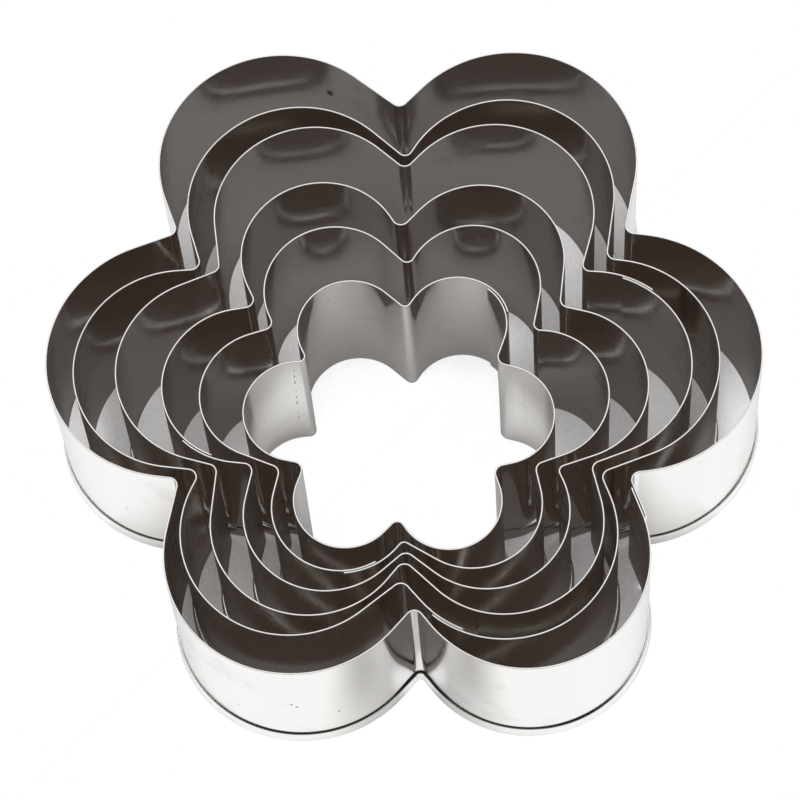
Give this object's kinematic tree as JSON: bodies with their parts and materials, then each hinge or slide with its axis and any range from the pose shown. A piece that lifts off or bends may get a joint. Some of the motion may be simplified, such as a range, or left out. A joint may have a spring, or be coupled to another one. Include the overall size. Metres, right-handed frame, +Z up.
{
  "type": "nested cookie cutter set",
  "caption": "Nested set of blossom-shaped cookie cutters, each a bent strip of thin bright steel with a bare cutting edge and a folded hem, for cutting rolled dough.",
  "frame": {"origin": "on the table, under the middle of the largest cutter", "axes": "+Z up from the folded hems to the bare cutting edges, +X through the tip of a petal of the largest cutter, -Y towards the side where the smaller cutters stand closest to it"},
  "size_m": [0.1158, 0.1101, 0.03],
  "materials": {
    "bright_steel": "bright annealed",
    "weld_spots": "dull, fused"
  },
  "bodies": {
    "cutter_1": {"cutter_1_strip": "bright_steel", "cutter_1_welds": "weld_spots"},
    "cutter_2": {"cutter_2_strip": "bright_steel", "cutter_2_welds": "weld_spots"},
    "cutter_3": {"cutter_3_strip": "bright_steel", "cutter_3_welds": "weld_spots"},
    "cutter_4": {"cutter_4_strip": "bright_steel", "cutter_4_welds": "weld_spots"},
    "cutter_5": {"cutter_5_strip": "bright_steel", "cutter_5_welds": "weld_spots"},
    "cutter_6": {"cutter_6_strip": "bright_steel", "cutter_6_welds": "weld_spots"}
  },
  "joints": [
    {"name": "cutter_2_lift", "type": "slide", "parent": "cutter_1", "child": "cutter_2", "axis": [0, 0, 1], "range_m": [0, 0.036]},
    {"name": "cutter_3_lift", "type": "slide", "parent": "cutter_1", "child": "cutter_3", "axis": [0, 0, 1], "range_m": [0, 0.036]},
    {"name": "cutter_4_lift", "type": "slide", "parent": "cutter_1", "child": "cutter_4", "axis": [0, 0, 1], "range_m": [0, 0.036]},
    {"name": "cutter_5_lift", "type": "slide", "parent": "cutter_1", "child": "cutter_5", "axis": [0, 0, 1], "range_m": [0, 0.036]},
    {"name": "cutter_6_lift", "type": "slide", "parent": "cutter_1", "child": "cutter_6", "axis": [0, 0, 1], "range_m": [0, 0.036]}
  ]
}
